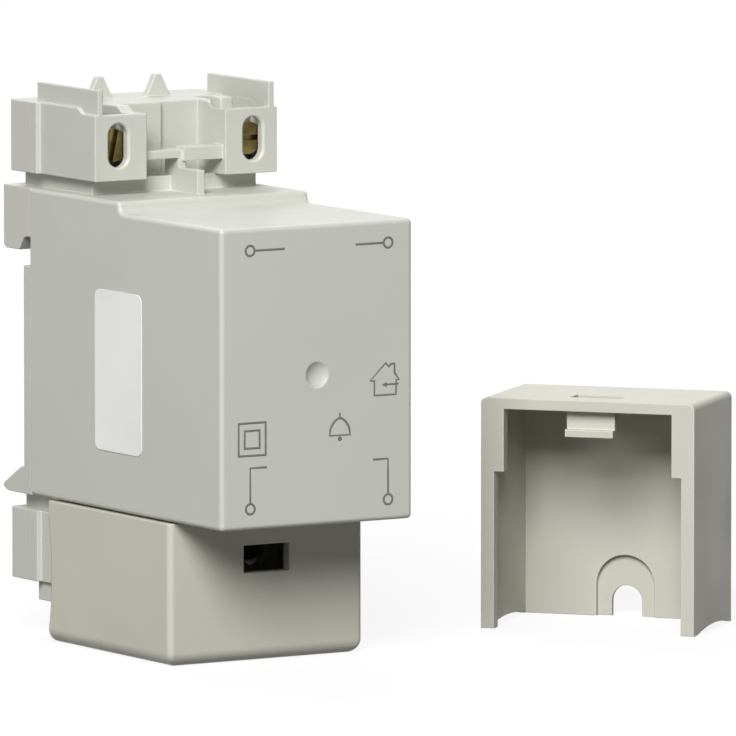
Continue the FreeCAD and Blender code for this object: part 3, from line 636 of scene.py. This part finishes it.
@dataclass
class FrontPrint:
    """The grey marks printed on the front: terminal symbols and three plain pictograms.

    A line narrows at its corners, so outlines with corners are drawn wider than the rest.
    """

    face: float = -60.5
    proud: float = 0.03
    line: float = 0.38
    thin_line: float = 0.31
    square_line: float = 0.5
    house_line: float = 0.42
    head_line: float = 0.3
    ring: float = 0.8
    ring_facets: int = 40
    shift: float = 0.4
    top_level: float = 21.85
    bottom_level: float = -18.5
    bend_level: float = -12.1
    reach: float = 12.6
    top_gap: Span = (-5.9, 7.05)
    bottom_gap: Span = (-9.2, 10.25)
    bell_middle: float = 4.15
    bell_foot: float = -7.9
    bell_half: float = 1.85
    bell_rise: float = 2.7
    bell_waist: float = 0.72
    bell_crown: float = 0.75
    bell_facets: int = 14
    stem: float = 0.8
    clapper: float = 0.2
    clapper_drop: float = 0.55
    strokes: list[bpy.types.Object] = field(default_factory=list)

    def stroke(self, points: list[Point], closed: bool = False, width: float | None = None) -> None:
        """Draw one line of ink through points on the face.

        Args:
            points: Places across and up the face, in mm.
            closed: Whether the line comes back to its start.
            width: The line's width in mm, where it isn't the usual one.
        """
        curve = bpy.data.curves.new("stroke", "CURVE")
        curve.dimensions = "3D"
        curve.bevel_depth = (width or self.line) / 2 * MM
        curve.bevel_resolution = 2
        curve.use_fill_caps = True
        spline = curve.splines.new("POLY")
        spline.points.add(len(points) - 1)
        for point, (across, up) in zip(spline.points, points):
            point.co = (across * MM, self.face * MM, up * MM, 1.0)
        spline.use_cyclic_u = closed
        thing = bpy.data.objects.new("stroke", curve)
        bpy.context.collection.objects.link(thing)
        activate(thing)
        bpy.ops.object.convert(target="MESH")
        self.strokes.append(bpy.context.object)

    def circle(self, across: float, up: float, radius: float) -> None:
        """Draw a ring of ink.

        Args:
            across: The middle's place across, in mm.
            up: The middle's height, in mm.
            radius: The ring's radius, in mm.
        """
        turns = [2 * math.pi * i / self.ring_facets for i in range(self.ring_facets)]
        self.stroke([(across + radius * math.cos(t), up + radius * math.sin(t)) for t in turns], True)

    def terminals(self) -> None:
        """Draw the circles that stand for the four terminals, with their lines."""
        for side, top_end, bottom_end in ((-1, self.top_gap[0], self.bottom_gap[0]),
                                          (1, self.top_gap[1], self.bottom_gap[1])):
            across = side * self.reach + self.shift
            self.circle(across, self.top_level, self.ring)
            self.circle(across, self.bottom_level, self.ring)
            inner = across - side * self.ring
            self.stroke([(inner, self.top_level), (top_end, self.top_level)])
            self.stroke([(across, self.bottom_level + self.ring), (across, self.bend_level),
                         (bottom_end, self.bend_level)])

    def double_square(self) -> None:
        """Draw the two squares of double insulation."""
        for low, high in SQUARES:
            self.stroke([low, (high[0], low[1]), high, (low[0], high[1])], True, self.square_line)

    def house(self) -> None:
        """Draw the house that stands for use indoors, with its arrow."""
        self.stroke(HOUSE, True, self.house_line)
        self.stroke(ARROW_SHAFT, False, self.thin_line)
        self.stroke(ARROW_HEAD, True, self.head_line)

    def bell(self) -> None:
        """Draw the bell, flared at its foot, with its stem and clapper."""
        middle, foot = self.bell_middle, self.bell_foot
        dome = []
        for i in range(self.bell_facets + 1):
            turn = math.pi * i / self.bell_facets
            flare = self.bell_waist + (1 - self.bell_waist) * abs(math.cos(turn)) ** 3
            dome.append((middle - self.bell_half * flare * math.cos(turn),
                         foot + self.bell_rise * math.sin(turn) ** self.bell_crown))
        self.stroke(dome, True, self.line)
        top = foot + self.bell_rise
        self.stroke([(middle, top), (middle, top + self.stem)], False, self.thin_line)
        self.circle(middle, foot - self.clapper_drop, self.clapper)

    def build(self) -> bpy.types.Object:
        """Draw all marks, join them, press them flat on the face and dress them.

        Returns:
            The one finished piece.
        """
        self.terminals()
        self.double_square()
        self.house()
        self.bell()
        deselect()
        for piece in self.strokes:
            piece.select_set(True)
        bpy.context.view_layer.objects.active = self.strokes[0]
        bpy.ops.object.join()
        marks = bpy.context.object
        marks.name = "front_marks"
        bpy.ops.object.mode_set(mode="EDIT")
        bpy.ops.mesh.select_all(action="SELECT")
        bpy.ops.transform.resize(value=(1.0, 2 * self.proud / self.line, 1.0),
                                 center_override=(0.0, self.face * MM, 0.0))
        bpy.ops.object.mode_set(mode="OBJECT")
        marks.data.materials.clear()
        marks.data.materials.append(FINISHES["print"].build())
        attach(marks, "root")
        return marks


@dataclass
class Casing:
    """The CAD nodes, which keep their shapes and take their finishes here."""

    frame: dict

    def dress(self) -> int:
        """Give every CAD node the finish of its material slot.

        Returns:
            How many nodes were dressed.
        """
        slots = {part["node"]: part["material_slot"] for part in self.frame["record"]["subparts"]}
        used = set(slots.values())
        built = {name: finish.build() for name, finish in FINISHES.items() if name in used}
        for node, thing in self.frame["nodes"].items():
            for place in thing.material_slots:
                place.material = built[slots[node]]
            LOG.info("%s takes %s", node, built[slots[node]].name)
        return len(self.frame["nodes"])


def pick_above(mesh: bpy.types.Mesh, level: float) -> None:
    """Select the corners above a level, with the edges and faces between them.

    Args:
        mesh: The mesh, out of edit mode.
        level: The level, in metres.
    """
    for corner in mesh.vertices:
        corner.select = corner.co.z > level
    for side in (*mesh.edges, *mesh.polygons):
        side.select = all(mesh.vertices[i].select for i in side.vertices)


@dataclass
class Upstand:
    """The squared step beside the right-hand flag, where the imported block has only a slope."""

    across: Span = (7.28, 9.6)
    deep: Span = (-19.5, -16.2)
    level: Span = (39.4, 41.8)
    rounding: float = 0.2
    segments: int = 3
    lead: float = 0.1

    def build(self) -> bpy.types.Object:
        """Raise the block, draw its top in a little, round its edges and dress it.

        Returns:
            The finished piece.
        """
        sides = (self.across, self.deep, self.level)
        centre = [(low + high) / 2 * MM for low, high in sides]
        deselect()
        bpy.ops.mesh.primitive_cube_add(size=1.0, location=centre)
        block = bpy.context.object
        block.name = "block_upstand"
        bpy.ops.transform.resize(value=[(high - low) * MM for low, high in sides])
        bpy.ops.object.transform_apply(location=True, rotation=True, scale=True)
        pick_above(block.data, centre[2])
        bpy.ops.object.mode_set(mode="EDIT")
        narrow = 1 - self.lead / (self.across[1] - self.across[0])
        bpy.ops.transform.resize(value=(narrow, 1.0, 1.0),
                                 center_override=(self.across[0] * MM, 0.0, 0.0))
        bpy.ops.object.mode_set(mode="OBJECT")
        bevel = block.modifiers.new("rounding", "BEVEL")
        bevel.width, bevel.segments = self.rounding * MM, self.segments
        bevel.limit_method = "ANGLE"
        bpy.ops.object.modifier_apply(modifier=bevel.name)
        bpy.ops.object.shade_smooth_by_angle(angle=SMOOTH_ANGLE)
        block.data.materials.append(bpy.data.materials[FINISHES["housing"].name])
        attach(block, "root")
        return block


@dataclass
class LatchSpring:
    """The latch's coil spring; on the real part it closes up on its peg as the latch is pulled down,
    here it keeps its imported shape.
    """

    frame: dict
    node: str = "latch_spring"
    joint: str = "latch_release"
    slot: str = "spring"
    weld: float = 0.002

    def build(self) -> bpy.types.Object:
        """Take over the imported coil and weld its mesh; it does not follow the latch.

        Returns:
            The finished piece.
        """
        coil = bpy.data.objects.new("coil_spring", self.frame["nodes"][self.node].data.copy())
        bpy.context.collection.objects.link(coil)
        activate(coil)
        bpy.ops.object.mode_set(mode="EDIT")
        bpy.ops.mesh.select_all(action="SELECT")
        bpy.ops.mesh.remove_doubles(threshold=self.weld * MM)
        bpy.ops.object.mode_set(mode="OBJECT")
        bpy.ops.object.shade_smooth_by_angle(angle=SMOOTH_ANGLE)
        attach(coil, "root")
        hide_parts(self.node)
        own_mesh(coil)
        return coil


@dataclass(frozen=True)
class Lamp:
    """One square soft lamp that faces the object."""

    name: str
    place: tuple[float, float, float]
    side: float
    power: float

    def build(self) -> bpy.types.Object:
        """Hang the lamp.

        Returns:
            The lamp's object.
        """
        light = bpy.data.lights.new(self.name, "AREA")
        light.shape, light.size, light.energy = "SQUARE", self.side, self.power
        thing = bpy.data.objects.new(self.name, light)
        bpy.context.collection.objects.link(thing)
        thing.location = self.place
        thing.rotation_mode = "QUATERNION"
        thing.rotation_quaternion = Vector(self.place).to_track_quat("Z", "Y")
        return thing


LAMPS = (Lamp("key", (-1.02, -1.17, 1.09), side=0.9, power=46.0),
         Lamp("top", (0.45, 1.2, 1.65), side=1.2, power=19.0))


@dataclass
class Studio:
    """A white floor and plain soft lamps, with the key at the left front."""

    floor_level: float = -0.0447
    floor_half: float = 9.0
    floor_paint: Colour = srgb(96, 96, 94)
    seen_paint: Colour = srgb(250, 250, 250)
    glow: float = 1.02
    whiteness: float = 0.84
    near: float = 0.16
    far: float = 0.5
    world_light: float = 0.06

    def rays(self, graph: Graph) -> bpy.types.NodeSocket:
        """A mask of the rays that see the background: camera, glossy and transmission.

        Args:
            graph: The graph to add it to.

        Returns:
            The mask's output.
        """
        path = graph.add("LightPath")
        first = graph.add("Math", {0: path.outputs["Is Camera Ray"], 1: path.outputs["Is Glossy Ray"]},
                          operation="MAXIMUM")
        return graph.add("Math", {0: first.outputs[0], 1: path.outputs["Is Transmission Ray"]},
                         operation="MAXIMUM").outputs[0]

    def floor(self) -> None:
        """Lay the white floor, which keeps a light shadow."""
        deselect()
        bpy.ops.mesh.primitive_plane_add(size=2 * self.floor_half, location=(0, 0, self.floor_level))
        plane = bpy.context.object
        plane.name = "floor"
        material = bpy.data.materials.new("white_floor")
        material.use_nodes = True
        graph = Graph(material.node_tree)
        seen = self.rays(graph)
        paint = graph.add("BsdfDiffuse", {"Color": graph.mix(seen, self.floor_paint, self.seen_paint)})
        glow = graph.add("Emission", {"Color": WHITE, "Strength": self.glow})
        away = graph.add("VectorMath", {0: graph.add("TexCoord").outputs["Object"]}, operation="LENGTH")
        white = graph.ramp(away.outputs["Value"], self.near, self.far, self.whiteness, 1.0)
        share = graph.add("Math", {0: seen, 1: white}, operation="MULTIPLY")
        mixed = graph.add("MixShader", {0: share.outputs[0], 1: paint.outputs[0], 2: glow.outputs[0]})
        graph.add("OutputMaterial", {"Surface": mixed.outputs[0]})
        plane.data.materials.append(material)

    def world(self) -> None:
        """Give the world a white look and a low even light."""
        world = bpy.data.worlds.new("studio")
        world.use_nodes = True
        bpy.context.scene.world = world
        graph = Graph(world.node_tree)
        seen = graph.add("Background", {"Color": WHITE, "Strength": 1.0})
        light = graph.add("Background", {"Color": WHITE, "Strength": self.world_light})
        mixed = graph.add("MixShader", {0: self.rays(graph), 1: light.outputs[0], 2: seen.outputs[0]})
        graph.add("OutputWorld", {"Surface": mixed.outputs[0]})

    def build(self) -> None:
        """Build the floor, world and lamps."""
        self.floor()
        self.world()
        for lamp in LAMPS:
            lamp.build()


@dataclass
class PhotoCamera:
    """The camera, fitted to the photograph's own viewing angle."""

    place: Vector = field(default_factory=lambda: Vector((-1.05755, -1.78179, 0.22320)))
    azimuth: float = 31.791
    elevation: float = 6.2238
    lens: float = 638.3
    sensor: float = 36.0
    clip: Span = (0.05, 40.0)

    def build(self) -> bpy.types.Object:
        """Place the camera and make it the scene's.

        Returns:
            The camera object.
        """
        data = bpy.data.cameras.new("photo_camera")
        data.lens, data.sensor_width = self.lens, self.sensor
        data.clip_start, data.clip_end = self.clip
        camera = bpy.data.objects.new("photo_camera", data)
        bpy.context.collection.objects.link(camera)
        turn, tilt = math.radians(self.azimuth), math.radians(self.elevation)
        level = math.cos(tilt)
        back = Vector((-math.sin(turn) * level, -math.cos(turn) * level, math.sin(tilt)))
        right = Vector((math.cos(turn), -math.sin(turn), 0.0))
        axes = Matrix((right, back.cross(right), back)).transposed()
        camera.matrix_world = Matrix.Translation(self.place) @ axes.to_4x4()
        bpy.context.scene.camera = camera
        return camera


def main() -> None:
    """Load the frame, then build the camera, finishes, pieces and studio in turn."""
    logging.basicConfig(level=logging.INFO, format="%(message)s")
    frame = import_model()
    bpy.context.scene.view_settings.view_transform = "Standard"
    PhotoCamera().build()
    LOG.info("dressed %d nodes", Casing(frame).dress())
    LOG.info("printed %s", FrontPrint().build().name)
    LOG.info("raised %s", Upstand().build().name)
    LOG.info("coiled %s", LatchSpring(frame).build().name)
    Studio().build()
    deselect()


if __name__ == "__main__":
    main()
